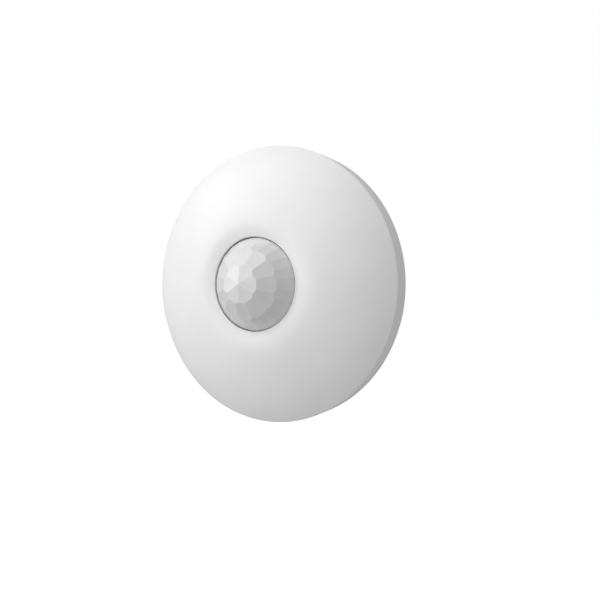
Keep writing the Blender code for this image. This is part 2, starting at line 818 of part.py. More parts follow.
def make_range_trimmer():
    """A small rotary trimmer for the detection range, turned with a screwdriver."""
    body_top = ON_BOARD + TRIMMER_HEIGHT
    place = (*TRIMMER_AT, 0.0)
    body = block(
        (-TRIMMER_HALF, -TRIMMER_HALF, ON_BOARD), (TRIMMER_HALF, TRIMMER_HALF, body_top), SWITCH_CHAMFER
    )
    housing = add_piece("range_trimmer", body, control_plastic(), place)
    well = rod(TRIMMER_WELL_RADIUS, body_top - 1.4 * MM, body_top + PAST, 24)
    combine(housing, add_cutter("trimmer_well", well, place), "DIFFERENCE")
    rotor_top = body_top + 0.5 * MM
    disc = rod(ROTOR_RADIUS, body_top - 1.1 * MM, rotor_top, 24)
    rotor = add_piece("trimmer_rotor", disc, black_plastic(), place)
    slot = block((-1.7 * MM, -0.3 * MM, rotor_top - 0.7 * MM), (1.7 * MM, 0.3 * MM, rotor_top + PAST))
    combine(rotor, add_cutter("rotor_slot", slot, place), "DIFFERENCE")


def make_chip(name, x, y, width, depth, height, material):
    """A flat rectangular part on the board."""
    low = (-width / 2, -depth / 2, ON_BOARD)
    high = (width / 2, depth / 2, ON_BOARD + height)
    add_piece(name, block(low, high, 0.15 * MM), material, (x, y, 0.0))


def make_radio():
    """The shielded radio module and the helical antenna beside it."""
    make_chip("radio_shield", -19 * MM, 15 * MM, 13 * MM, 11 * MM, 2.4 * MM, plated_steel())
    steps_per_turn = 10
    height = ON_BOARD + ANTENNA_RADIUS + 0.7 * MM
    path = []
    for i in range(ANTENNA_TURNS * steps_per_turn + 1):
        angle = math.tau * i / steps_per_turn
        path.append(
            (
                ANTENNA_START + ANTENNA_PITCH * i / steps_per_turn,
                ANTENNA_Y + ANTENNA_RADIUS * math.cos(angle),
                height + ANTENNA_RADIUS * math.sin(angle),
            )
        )
    add_wire("antenna_coil", path, 0.4 * MM, gold_wire())


def make_capacitor(number, x, y):
    top = ON_BOARD + CAPACITOR_HEIGHT
    outline = [
        (0.0, ON_BOARD),
        (0.0, top),
        (CAPACITOR_RADIUS - 0.3 * MM, top),
        (CAPACITOR_RADIUS, top - 0.3 * MM),
        (CAPACITOR_RADIUS, ON_BOARD),
    ]
    add_piece(f"capacitor_{number}", turned(outline, 24), plated_steel(), (x, y, 0.0))


def make_status_led():
    radius = LED_RADIUS
    top = ON_BOARD + LED_HEIGHT
    outline = [(0.0, ON_BOARD), (0.0, top)]
    for i in range(1, 5):
        angle = math.radians(90 - 90 * i / 4)
        outline.append((radius * math.cos(angle), top - radius + radius * math.sin(angle)))
    outline += [(radius, ON_BOARD + 0.8 * MM), (radius + 0.3 * MM, ON_BOARD + 0.8 * MM)]
    outline.append((radius + 0.3 * MM, ON_BOARD))
    add_piece("status_led", turned(outline, 20), led_epoxy(), (*LED_AT, 0.0))


def make_electronics():
    make_chip("controller_chip", -14 * MM, -1 * MM, 7 * MM, 7 * MM, 1.2 * MM, black_plastic())
    make_chip("amplifier_chip", 16 * MM, 8 * MM, 5 * MM, 4 * MM, 1.4 * MM, black_plastic())
    make_chip("crystal_can", -15 * MM, -10.5 * MM, 8 * MM, 3.2 * MM, 2.0 * MM, plated_steel())
    make_radio()
    make_capacitor(1, 0.0, -13.5 * MM)
    make_capacitor(2, 12.5 * MM, -13 * MM)
    make_status_led()


def main():
    clear_scene()
    add_axis()
    make_base()
    make_cover()
    make_lens()
    make_lens_retainer()
    make_board()
    make_board_screws()
    make_sensor()
    make_battery()
    make_tamper()
    make_enrol_button()
    make_dip_switch()
    make_range_trimmer()
    make_electronics()


main()
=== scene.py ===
"""Looks of a round 360 degree passive infrared motion sensor.

Pieces are drawn about the lens axis: X is right, Y is up and Z runs out of the lens, with the wall at
Z = 0. TO_WORLD then turns each finished mesh so that the lens faces along world -Y, as in the frame.
"""

import math

import bmesh
import bpy
from mathutils import Matrix, Vector


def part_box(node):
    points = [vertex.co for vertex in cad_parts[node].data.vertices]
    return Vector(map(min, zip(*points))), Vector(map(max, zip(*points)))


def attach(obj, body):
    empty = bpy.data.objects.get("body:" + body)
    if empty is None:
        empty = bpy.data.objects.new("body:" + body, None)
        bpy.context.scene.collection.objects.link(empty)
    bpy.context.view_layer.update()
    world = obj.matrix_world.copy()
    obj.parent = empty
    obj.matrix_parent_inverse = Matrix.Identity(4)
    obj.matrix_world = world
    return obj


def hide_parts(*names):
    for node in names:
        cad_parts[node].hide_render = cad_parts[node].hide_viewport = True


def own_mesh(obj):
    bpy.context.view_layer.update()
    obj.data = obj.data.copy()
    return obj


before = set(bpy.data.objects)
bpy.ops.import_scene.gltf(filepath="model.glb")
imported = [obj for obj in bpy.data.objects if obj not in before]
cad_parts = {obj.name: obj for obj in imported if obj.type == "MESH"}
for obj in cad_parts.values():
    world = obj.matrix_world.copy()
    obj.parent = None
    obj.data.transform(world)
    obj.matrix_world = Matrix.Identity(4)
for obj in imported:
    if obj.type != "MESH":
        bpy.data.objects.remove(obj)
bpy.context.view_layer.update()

MM = 0.001
TO_WORLD = Matrix.Rotation(math.radians(90), 4, "X")

# How finely round shapes are drawn
ROUND_STEPS = 240
INNER_STEPS = 120
SMALL_STEPS = 32
OUTER_CURVE_STEPS = 6
INNER_CURVE_STEPS = 3

# Joining and cutting
OVERLAP = 0.5 * MM  # how far joined shapes reach into each other
PAST = 1.0 * MM  # how far a cutter reaches past what it cuts
GAP = 0.3 * MM  # clearance between neighbouring parts
SLIVER = 0.002 * MM  # faces thinner than this are closed up
WELD_DISTANCE = 1e-6  # points nearer than this are one
MERGE_DISTANCE = 1e-7  # the same for a turned shape, where points lie close round the axis
CUT_TOLERANCE = 1e-8

# Angles in degrees above which an edge is drawn sharp
SMOOTH_ANGLE = 30
FACET_ANGLE = 8
WIRE_ANGLE = 60
NEARLY_STRAIGHT = math.radians(89)


def front_of(node):
    """Height over the wall of a CAD node's front."""
    return -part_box(node)[0].y


def back_of(node):
    """Height over the wall of a CAD node's back."""
    return -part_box(node)[1].y


def centre_of(node):
    """A CAD node's middle in drawing axes, at wall height."""
    low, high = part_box(node)
    return (low.x + high.x) / 2, (low.z + high.z) / 2


# Driving sizes, read from the frame
RIM_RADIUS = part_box("front_cover")[1].x
LIP_BACK = back_of("front_cover")
LENS_APEX = front_of("lens")
FLANGE_BACK = back_of("lens")
FLANGE_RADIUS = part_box("lens")[1].x
BOARD_BACK = back_of("main_board")
HOOK_FRONT = front_of("mounting_base")

# Cover
PARTING_HEIGHT = 8.85 * MM
PARTING_GAP = 0.02 * MM
PARTING_CORNER = 0.03 * MM
COVER_WALL = 2.2 * MM
OPENING_RADIUS = 18.56 * MM
OPENING_HEIGHT = 23.82 * MM
OPENING_CORNER = 0.08 * MM
OPENING_BACK_CORNER = 0.2 * MM
LIP_OUTER_RADIUS = 52.2 * MM
LIP_INNER_RADIUS = 50.2 * MM
LIP_OUTER_CORNER = 0.5 * MM
LIP_INNER_CORNER = 0.25 * MM

# The cover's curves: radius, height and fall in degrees, from the parting line in to the opening
COVER_CURVE = (
    (55.0, 8.87, 44.0),
    (50.0, 13.33, 38.2),
    (42.0, 18.50, 28.2),
    (34.0, 22.16, 21.6),
    (30.0, 23.60, 17.8),
    (26.6, 24.52, 11.0),
    (23.5, 24.85, 0.5),
    (21.2, 24.62, -11.0),
    (18.56, 23.82, -23.0),
)
COVER_INNER_CURVE = (
    (50.2, 10.30, 39.0),
    (42.0, 15.90, 29.5),
    (34.0, 19.75, 22.0),
    (27.0, 22.05, 12.0),
    (23.5, 22.55, 2.0),
    (18.56, 21.62, -22.0),
)

# Base
BASE_BACK_RADIUS = 53.92 * MM
BASE_BACK_CORNER = 0.35 * MM
BASE_INNER_RADIUS = 51.6 * MM
BASE_INNER_CORNER = 0.8 * MM
BASE_FLOOR = 2.2 * MM
LEDGE_RADIUS = 52.55 * MM
LEDGE_CLEARANCE = 0.5 * MM
LEDGE_CORNER = 0.3 * MM
RIM_INNER_CORNER = 0.1 * MM
SLOT_CIRCLE = 40.5 * MM
SLOT_WIDTH = 4.5 * MM
SLOT_LENGTH = 8.0 * MM

# Marks in the back
RELIEF_RADIUS = 49.0 * MM
RELIEF_WIDTH = 1.2 * MM
RELIEF_DEPTH = 0.5 * MM
KNOCKOUT_OFFSET = 24.0 * MM
KNOCKOUT_RADIUS = 7.0 * MM
KNOCKOUT_WIDTH = 0.8 * MM
KNOCKOUT_DEPTH = 0.7 * MM
EJECTOR_ANGLES = (30, 90, 150, 210, 270, 330)
EJECTOR_CIRCLE = 44.0 * MM
EJECTOR_RADIUS = 1.6 * MM
EJECTOR_DEPTH = 0.12 * MM

# Bayonet, its angles and spans in degrees
BAYONET_ANGLES = (45, 135, 225, 315)
BAYONET_SPAN = 12.0
HOOK_INNER_RADIUS = 45.0 * MM
HOOK_STEM_OUTER_RADIUS = 47.0 * MM
HOOK_LIP_OUTER_RADIUS = 49.6 * MM
HOOK_LIP_SPAN = 11.0
HOOK_LIP_STEP = 0.01 * MM
TAB_INNER_RADIUS = 47.4 * MM
TAB_FRONT = 8.6 * MM
STOP_INNER_RADIUS = 47.8 * MM
STOP_OFFSET = 2.5
STOP_SPAN = 3.0

# Lens: each ring's lean in degrees and number of facets, from the middle out, and where two rings meet
LENS_WALL = 0.8 * MM
LENS_SKIRT_RADIUS = 18.05 * MM
LENS_RINGS = ((11.9, 6), (35.4, 12), (56.4, 24))
LENS_RING_EDGES = (7.33 * MM, 13.75 * MM)
LENS_SEAT = (0.19 * MM, 0.0, -0.14 * MM)  # the lens rests off centre, inside its clearance
FLANGE_THICKNESS = 1.2 * MM
STAKE_CIRCLE = 21.2 * MM
STAKE_RADIUS = 0.9 * MM
STAKE_HEAD = 0.6 * MM
STAKE_ROOT = 0.7 * MM
STAKE_HOLE_RADIUS = 1.2 * MM

# Board fixings and tamper
BOSS_CIRCLE = 32.0 * MM
BOSS_ANGLES = (90, 210, 330)
BOSS_RADIUS = 2.8 * MM
BOSS_BORE = 1.4 * MM
TAMPER_GUIDE_RADIUS = 2.0 * MM

# Tamper spring: drawn wire, its end turns wound close
SPRING_WIRE_RADIUS = 0.2 * MM
SPRING_TURNS = 4.5
SPRING_CLOSED_TURNS = 0.9
SPRING_CLOSED_PITCH = 0.45 * MM


# ---------------------------------------------------------------- shapes


def on_circle(radius, degrees):
    """A point on a circle about the lens axis."""
    angle = math.radians(degrees)
    return radius * math.cos(angle), radius * math.sin(angle)


def corner_arc(before, corner, after, radius, steps=5):
    """A corner rounded to a radius, as points of its arc. A nearly straight one stays a single point."""
    corner = Vector(corner)
    back = (Vector(before) - corner).normalized()
    on = (Vector(after) - corner).normalized()
    half = math.acos(max(-1.0, min(1.0, back.dot(on)))) / 2
    if radius <= 0 or half > NEARLY_STRAIGHT:
        return [tuple(corner)]
    reach = radius / math.tan(half)
    centre = corner + (back + on).normalized() * (radius / math.sin(half))
    first = corner + back * reach - centre
    sweep = first.angle_signed(corner + on * reach - centre)
    points = []
    for i in range(steps + 1):
        arm = first.copy()
        arm.rotate(Matrix.Rotation(-sweep * i / steps, 2))
        points.append(tuple(centre + arm))
    return points


def rounded(outline):
    """A closed outline of (x, y, corner radius) points with its corners rounded."""
    points = []
    for i, (x, y, radius) in enumerate(outline):
        before = outline[i - 1][:2]
        after = outline[(i + 1) % len(outline)][:2]
        points += corner_arc(before, (x, y), after, radius)
    return points


def spun(outline, steps=ROUND_STEPS):
    """A closed outline of (radius, height) points turned once round the Z axis. An edge that lies on the
    axis is left out, because it makes no surface."""
    shape = bmesh.new()
    points = [shape.verts.new((radius, 0.0, height)) for radius, height in outline]
    sides = zip(points, points[1:] + points[:1])
    edges = [shape.edges.new(side) for side in sides if any(end.co.x > 0 for end in side)]
    bmesh.ops.spin(
        shape, geom=points + edges, axis=(0, 0, 1), cent=(0, 0, 0), angle=math.tau, steps=steps,
        use_merge=True,
    )
    bmesh.ops.remove_doubles(shape, verts=shape.verts, dist=MERGE_DISTANCE)
    bmesh.ops.dissolve_degenerate(shape, edges=shape.edges, dist=MERGE_DISTANCE)
    return shape


def column(radius, back, front, centre=(0.0, 0.0), steps=48):
    """A round column from one height to another."""
    shape = bmesh.new()
    bmesh.ops.create_cone(
        shape, cap_ends=True, segments=steps, radius1=radius, radius2=radius, depth=front - back
    )
    bmesh.ops.translate(shape, verts=shape.verts, vec=(*centre, (front + back) / 2))
    return shape


def raised(outline, back, front):
    """A flat closed outline of (x, y) points raised from one height to another."""
    shape = bmesh.new()
    face = shape.faces.new([shape.verts.new((x, y, back)) for x, y in outline])
    grown = bmesh.ops.extrude_face_region(shape, geom=[face])
    tops = [item for item in grown["geom"] if isinstance(item, bmesh.types.BMVert)]
    bmesh.ops.translate(shape, verts=tops, vec=(0, 0, front - back))
    return shape


def ring_block(inner, outer, back, front, middle, span, steps=12):
    """A block bent round the Z axis."""
    angles = [middle + span * (i / steps - 0.5) for i in range(steps + 1)]
    outside = [on_circle(outer, a) for a in angles]
    inside = [on_circle(inner, a) for a in reversed(angles)]
    return raised(outside + inside, back, front)


def wire_along(path, radius, sides=12):
    """A round wire along a path of points, closed at both ends."""
    shape = bmesh.new()
    rings = []
    for i, point in enumerate(path):
        ahead = path[min(i + 1, len(path) - 1)] - path[max(i - 1, 0)]
        turn = ahead.to_track_quat("Z", "Y")
        section = [on_circle(radius, 360 * k / sides) for k in range(sides)]
        rings.append([shape.verts.new(point + turn @ Vector((x, y, 0.0))) for x, y in section])
    for ring, following in zip(rings, rings[1:]):
        for k in range(sides):
            beside = (k + 1) % sides
            shape.faces.new((ring[k], ring[beside], following[beside], following[k]))
    shape.faces.new(rings[0][::-1])
    shape.faces.new(rings[-1])
    return shape


def slot_outline(x, y, width, length, steps=12):
    """An upright slot with round ends."""
    radius = width / 2
    reach = length / 2 - radius
    points = []
    for end, first in ((1, 0), (-1, 180)):
        for i in range(steps + 1):
            dx, dy = on_circle(radius, first + 180 * i / steps)
            points.append((x + dx, y + end * reach + dy))
    return points


def gathered(shapes):
    """Several shapes in one, to cut or to join in a single Boolean."""
    together = bmesh.new()
    for shape in shapes:
        mesh = bpy.data.meshes.new("scratch")
        shape.to_mesh(mesh)
        shape.free()
        together.from_mesh(mesh)
        bpy.data.meshes.remove(mesh)
    return together


def loose_object(name, shape):
    """An object made of the shape and turned into the frame's axes."""
    bmesh.ops.recalc_face_normals(shape, faces=shape.faces)
    mesh = bpy.data.meshes.new(name)
    shape.to_mesh(mesh)
    shape.free()
    mesh.transform(TO_WORLD)
    obj = bpy.data.objects.new(name, mesh)
    bpy.context.scene.collection.objects.link(obj)
    return obj


def piece(name, shape, material, body, replaces, smooth=SMOOTH_ANGLE):
    """An object that rides on a body of the frame and stands for CAD nodes."""
    obj = loose_object(name, shape)
    obj.data.materials.append(material)
    shade(obj.data, smooth)
    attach(obj, body)
    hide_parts(*replaces)
    return obj


def shade(mesh, smooth=SMOOTH_ANGLE):
    """Shade smooth, apart from edges sharper than an angle in degrees."""
    mesh.shade_smooth()
    mesh.set_sharp_from_angle(angle=math.radians(smooth))


def without_slivers(mesh):
    """Close up the hair-thin faces that a Boolean leaves where two surfaces nearly meet."""
    shape = bmesh.new()
    shape.from_mesh(mesh)
    bmesh.ops.remove_doubles(shape, verts=shape.verts, dist=SLIVER)
    bmesh.ops.dissolve_degenerate(shape, edges=shape.edges, dist=SLIVER)
    shape.to_mesh(mesh)
    shape.free()


def join_or_cut(obj, shape, operation):
    """Apply one exact Boolean to a piece at once. Removing the tool's mesh removes the tool as well, so
    that no cutter is left in the scene."""
    tool = loose_object("tool", shape)
    boolean = obj.modifiers.new("tool", "BOOLEAN")
    boolean.operation = operation
    boolean.object = tool
    boolean.solver = "EXACT"
    boolean.use_self = True
    result = obj.evaluated_get(bpy.context.evaluated_depsgraph_get())
    made = bpy.data.meshes.new_from_object(result)
    obj.modifiers.clear()
    old = obj.data
    obj.data = made
    bpy.data.meshes.remove(old)
    without_slivers(made)
    made.name = obj.name
    bpy.data.meshes.remove(tool.data)


def round_edges(obj, width):
    """Round the sharp edges of an object."""
    bevel = obj.modifiers.new("edges", "BEVEL")
    bevel.width = width
    bevel.segments = 2
    bevel.limit_method = "ANGLE"
    bevel.angle_limit = math.radians(SMOOTH_ANGLE)


# ---------------------------------------------------------------- materials


def srgb(code):
    """A hex colour as linear RGBA."""
    parts = [int(code[i : i + 2], 16) / 255 for i in (0, 2, 4)]
    linear = [c / 12.92 if c <= 0.04045 else ((c + 0.055) / 1.055) ** 2.4 for c in parts]
    return (*linear, 1.0)


def add(tree, kind, links=None, **settings):
    """Add a node, set its properties and sockets by name, and link its inputs."""
    new = tree.nodes.new(kind)
    for key, value in settings.items():
        socket = key.replace("_", " ")
        if hasattr(new, key):
            setattr(new, key, value)
        elif socket in new.inputs:
            new.inputs[socket].default_value = value
        else:
            raise KeyError(f"{kind} has no {key}")
    for key, output in (links or {}).items():
        tree.links.new(output, new.inputs[key])
    return new


def new_material(name, **shader_settings):
    """A material with its node tree and its shader, whose sockets are set by name."""
    material = bpy.data.materials.new(name)
    material.use_nodes = True
    tree = material.node_tree
    shader = tree.nodes["Principled BSDF"]
    for key, value in shader_settings.items():
        shader.inputs[key.replace("_", " ")].default_value = value
    return material, tree, shader


def place_in_mm(tree):
    """Object coordinates in millimetres, so that a pattern's scale is one over its size in mm."""
    where = add(tree, "ShaderNodeTexCoord").outputs["Object"]
    scaled = add(tree, "ShaderNodeVectorMath", operation="SCALE", Scale=1 / MM)
    tree.links.new(where, scaled.inputs["Vector"])
    return scaled.outputs["Vector"]


def moulded(name, dark, light, roughness, grain_mm, grain_depth_mm, mottle_mm):
    """Injection-moulded plastic: a spark-eroded mould gives an even fine grain and a soft satin sheen,
    and the melt leaves a colour that drifts very slightly over the part."""
    material, tree, shader = new_material(name, IOR=1.5)
    place = place_in_mm(tree)
    mottle = add(tree, "ShaderNodeTexNoise", {"Vector": place}, Scale=1 / mottle_mm, Detail=3.0)
    tint = add(tree, "ShaderNodeValToRGB", {"Fac": mottle.outputs["Fac"]})
    tint.color_ramp.elements[0].position = 0.35
    tint.color_ramp.elements[0].color = srgb(dark)
    tint.color_ramp.elements[1].position = 0.65
    tint.color_ramp.elements[1].color = srgb(light)
    tree.links.new(tint.outputs["Color"], shader.inputs["Base Color"])
    grain = add(
        tree, "ShaderNodeTexNoise", {"Vector": place}, Scale=1 / grain_mm, Detail=2.0, Roughness=0.6
    )
    satin = add(
        tree, "ShaderNodeMapRange", {"Value": grain.outputs["Fac"]},
        To_Min=roughness - 0.05, To_Max=roughness + 0.05,
    )
    tree.links.new(satin.outputs["Result"], shader.inputs["Roughness"])
    bump = add(
        tree, "ShaderNodeBump", {"Height": grain.outputs["Fac"]}, Distance=grain_depth_mm * MM,
        Strength=1.0,
    )
    tree.links.new(bump.outputs["Normal"], shader.inputs["Normal"])
    return material


def moulded_abs():
    """White ABS of the casing, lightly spark-eroded. The grain is drawn coarser than life, to show."""
    return moulded("moulded_abs", "F2F2F2", "F4F4F4", 0.46, 0.35, 0.006, mottle_mm=14.0)


def moulded_hdpe():
    """Milky polyethylene sheet of the lens: waxy, a little translucent, smooth outside."""
    material = moulded("moulded_hdpe", "DEDEDE", "E3E3E3", 0.22, 0.5, 0.002, mottle_mm=5.0)
    shader = material.node_tree.nodes["Principled BSDF"]
    shader.inputs["IOR"].default_value = 1.54
    shader.inputs["Specular IOR Level"].default_value = 0.8
    shader.inputs["Subsurface Weight"].default_value = 0.12
    shader.inputs["Subsurface Radius"].default_value = (1.0, 1.0, 1.0)
    shader.inputs["Subsurface Scale"].default_value = 0.8 * MM
    return material


def inner_abs():
    """Natural white ABS of the inner ring, less polished than the casing."""
    return moulded("inner_abs", "E6E6E3", "ECECE9", 0.52, 0.3, 0.008, mottle_mm=9.0)


def black_pbt():
    """Glass-filled PBT of switches and holder: dull, with a coarse dry surface."""
    return moulded("black_pbt", "17181A", "202224", 0.55, 0.2, 0.010, mottle_mm=3.0)


def acetal():
    """Natural acetal of the moving parts: cream, smooth and slippery."""
    return moulded("natural_acetal", "E4E2DA", "EBE9E2", 0.32, 0.25, 0.003, mottle_mm=3.0)


def blue_nylon():
    """Dyed nylon of the trimmer's body."""
    return moulded("blue_nylon", "2A4E93", "315AA6", 0.42, 0.2, 0.006, mottle_mm=2.0)


def chip_epoxy():
    """Filled epoxy moulding compound of the chips: charcoal, matt, ground with fine silica."""
    return moulded("chip_epoxy", "1B1B1C", "262627", 0.62, 0.12, 0.008, mottle_mm=1.0)


def collar_foam():
    """Closed-cell EPDM foam: black, dead matt, its cells about half a millimetre."""
    material, tree, shader = new_material("collar_foam", IOR=1.5, Roughness=0.95)
    place = place_in_mm(tree)
    cells = add(tree, "ShaderNodeTexVoronoi", {"Vector": place}, Scale=2.0)
    tone = add(tree, "ShaderNodeValToRGB", {"Fac": cells.outputs["Distance"]})
    tone.color_ramp.elements[0].color = srgb("0C0C0D")
    tone.color_ramp.elements[1].color = srgb("2B2B2D")
    tree.links.new(tone.outputs["Color"], shader.inputs["Base Color"])
    bump = add(tree, "ShaderNodeBump", {"Height": cells.outputs["Distance"]}, Distance=0.12 * MM)
    tree.links.new(bump.outputs["Normal"], shader.inputs["Normal"])
    return material


def metal(name, dark, light, roughness, line_mm, stretch=(1.0, 1.0, 1.0), depth_mm=0.004):
    """Bare or plated metal: its colour clouds a little, and rolling or drawing leaves fine lines."""
    material, tree, shader = new_material(name, Metallic=1.0)
    place = place_in_mm(tree)
    along = add(tree, "ShaderNodeMapping", {"Vector": place}, Scale=stretch)
    lines = add(
        tree, "ShaderNodeTexNoise", {"Vector": along.outputs["Vector"]}, Scale=1 / line_mm, Detail=4.0
    )
    tone = add(tree, "ShaderNodeValToRGB", {"Fac": lines.outputs["Fac"]})
    tone.color_ramp.elements[0].position = 0.3
    tone.color_ramp.elements[0].color = srgb(dark)
    tone.color_ramp.elements[1].position = 0.7
    tone.color_ramp.elements[1].color = srgb(light)
    tree.links.new(tone.outputs["Color"], shader.inputs["Base Color"])
    sheen = add(
        tree, "ShaderNodeMapRange", {"Value": lines.outputs["Fac"]},
        To_Min=roughness - 0.08, To_Max=roughness + 0.08,
    )
    tree.links.new(sheen.outputs["Result"], shader.inputs["Roughness"])
    bump = add(tree, "ShaderNodeBump", {"Height": lines.outputs["Fac"]}, Distance=depth_mm * MM)
    tree.links.new(bump.outputs["Normal"], shader.inputs["Normal"])
    return material


def zinc_plate():
    """Bright zinc on the board screws: bluish white, slightly cloudy."""
    return metal("zinc_plate", "B4B8BC", "D2D5D8", 0.34, 0.6)


def tinned_steel():
    """Tin-plated sheet of the shield and cans: rolled lines along its length."""
    return metal("tinned_steel", "B9B7B1", "D6D4CE", 0.28, 0.25, stretch=(0.1, 1.0, 1.0))


def nickel_strip():
    """Nickel-plated spring strip and wire of the battery contacts."""
    return metal("nickel_strip", "B7B3A9", "D4D0C6", 0.24, 0.4, stretch=(1.0, 1.0, 0.2))


def spring_wire():
    """Drawn stainless wire."""
    return metal("spring_wire", "9FA2A4", "C3C5C7", 0.30, 0.3)


def gilt_wire():
    """Gold-flashed leads and the antenna's wire."""
    return metal("gilt_wire", "C79B4E", "E3BE73", 0.26, 0.4)


def can_aluminium():
    """Drawn aluminium of the capacitors, bare at the top."""
    return metal("can_aluminium", "B9BCC0", "D5D7DA", 0.36, 0.3)


def silicon_window():
    """Coated silicon: dark, polished, with a violet interference tint."""
    material, tree, shader = new_material(
        "silicon_window", Metallic=0.7, Coat_Weight=0.6, Coat_Roughness=0.05
    )
    place = place_in_mm(tree)
    film = add(tree, "ShaderNodeTexNoise", {"Vector": place}, Scale=0.5, Detail=1.0)
    tint = add(tree, "ShaderNodeValToRGB", {"Fac": film.outputs["Fac"]})
    tint.color_ramp.elements[0].color = srgb("2A2236")
    tint.color_ramp.elements[1].color = srgb("3A3550")
    tree.links.new(tint.outputs["Color"], shader.inputs["Base Color"])
    polish = add(tree, "ShaderNodeMapRange", {"Value": film.outputs["Fac"]}, To_Min=0.08, To_Max=0.16)
    tree.links.new(polish.outputs["Result"], shader.inputs["Roughness"])
    return material


def cell_sleeve():
    """Shrunk PVC sleeve of the lithium cell: blue with a pale band round one end, glossy."""
    material, tree, shader = new_material("cell_sleeve", IOR=1.53, Coat_Weight=0.3)
    place = place_in_mm(tree)
    split = add(tree, "ShaderNodeSeparateXYZ", {"Vector": place})
    band = add(tree, "ShaderNodeValToRGB")
    along = add(
        tree, "ShaderNodeMapRange", {"Value": split.outputs["X"]}, From_Min=-14.0, From_Max=14.0
    )
    tree.links.new(along.outputs["Result"], band.inputs["Fac"])
    band.color_ramp.interpolation = "CONSTANT"
    band.color_ramp.elements[0].color = srgb("C9CCD0")
    band.color_ramp.elements[1].position = 0.24
    band.color_ramp.elements[1].color = srgb("28508C")
    tip = band.color_ramp.elements.new(0.965)
    tip.color = srgb("D2D0C8")
    tree.links.new(band.outputs["Color"], shader.inputs["Base Color"])
    ripple = add(tree, "ShaderNodeTexNoise", {"Vector": place}, Scale=0.6, Detail=2.0)
    gloss = add(tree, "ShaderNodeMapRange", {"Value": ripple.outputs["Fac"]}, To_Min=0.22, To_Max=0.38)
    tree.links.new(gloss.outputs["Result"], shader.inputs["Roughness"])
    bump = add(tree, "ShaderNodeBump", {"Height": ripple.outputs["Fac"]}, Distance=0.02 * MM)
    tree.links.new(bump.outputs["Normal"], shader.inputs["Normal"])
    return material


def led_epoxy():
    """Red diffused epoxy of the indicator."""
    material, tree, shader = new_material(
        "led_epoxy", IOR=1.54, Subsurface_Weight=0.5, Subsurface_Scale=0.8 * MM
    )
    place = place_in_mm(tree)
    haze = add(tree, "ShaderNodeTexNoise", {"Vector": place}, Scale=0.8, Detail=2.0)
    tint = add(tree, "ShaderNodeValToRGB", {"Fac": haze.outputs["Fac"]})
    tint.color_ramp.elements[0].color = srgb("A81E1A")
    tint.color_ramp.elements[1].color = srgb("C9332B")
    tree.links.new(tint.outputs["Color"], shader.inputs["Base Color"])
    gloss = add(tree, "ShaderNodeMapRange", {"Value": haze.outputs["Fac"]}, To_Min=0.12, To_Max=0.22)
    tree.links.new(gloss.outputs["Result"], shader.inputs["Roughness"])
    return material


def fr4_board():
    """FR4 laminate under green solder mask: the copper beneath shows as lighter tracks 1.6 mm apart, the
    glass weave as a faint 0.5 mm check, and the sawn edge as bare yellow glass epoxy."""
    material, tree, shader = new_material("fr4_board", IOR=1.52, Coat_Weight=0.25)
    place = place_in_mm(tree)
    flat = add(tree, "ShaderNodeMapping", {"Vector": place}, Rotation=(math.radians(90), 0, 0))
    tracks = add(
        tree, "ShaderNodeTexBrick", {"Vector": flat.outputs["Vector"]}, Scale=1.0, Mortar_Size=0.22,
        Brick_Width=7.0, Row_Height=1.6, Color1=srgb("11633A"), Color2=srgb("157044"),
        Mortar=srgb("0B4A2B"),
    )
    facing = add(tree, "ShaderNodeNewGeometry")
    split = add(tree, "ShaderNodeSeparateXYZ", {"Vector": facing.outputs["True Normal"]})
    flatness = add(tree, "ShaderNodeMath", {0: split.outputs["Y"]}, operation="ABSOLUTE")
    edge = add(tree, "ShaderNodeMath", {0: flatness.outputs[0]}, operation="LESS_THAN")
    edge.inputs[1].default_value = 0.5
    both = add(tree, "ShaderNodeMix", {"Factor": edge.outputs[0]}, data_type="RGBA")
    tree.links.new(tracks.outputs["Color"], both.inputs["A"])
    both.inputs["B"].default_value = srgb("A99A5E")
    tree.links.new(both.outputs["Result"], shader.inputs["Base Color"])
    weave = add(tree, "ShaderNodeTexChecker", {"Vector": place}, Scale=2.0)
    gloss = add(tree, "ShaderNodeMapRange", {"Value": weave.outputs["Fac"]}, To_Min=0.30, To_Max=0.38)
    tree.links.new(gloss.outputs["Result"], shader.inputs["Roughness"])
    relief = add(tree, "ShaderNodeBump", {"Height": tracks.outputs["Fac"]}, Distance=0.035 * MM)
    relief.invert = True
    tree.links.new(relief.outputs["Normal"], shader.inputs["Normal"])
    return material


# ---------------------------------------------------------------- casing


def smooth_curve(knots, steps):
    """Points of the smooth curve through knots of (radius mm, height mm, fall in degrees)."""
    points = []
    for (start, height, fall), (end, next_height, next_fall) in zip(knots, knots[1:]):
        run = end - start
        slope = -math.tan(math.radians(fall)) * run
        next_slope = -math.tan(math.radians(next_fall)) * run
        for i in range(steps):
            t = i / steps
            here = (
                (2 * t**3 - 3 * t**2 + 1) * height
                + (t**3 - 2 * t**2 + t) * slope
                + (3 * t**2 - 2 * t**3) * next_height
                + (t**3 - t**2) * next_slope
            )
            points.append(((start + run * t) * MM, here * MM))
    return points + [(knots[-1][0] * MM, knots[-1][1] * MM)]


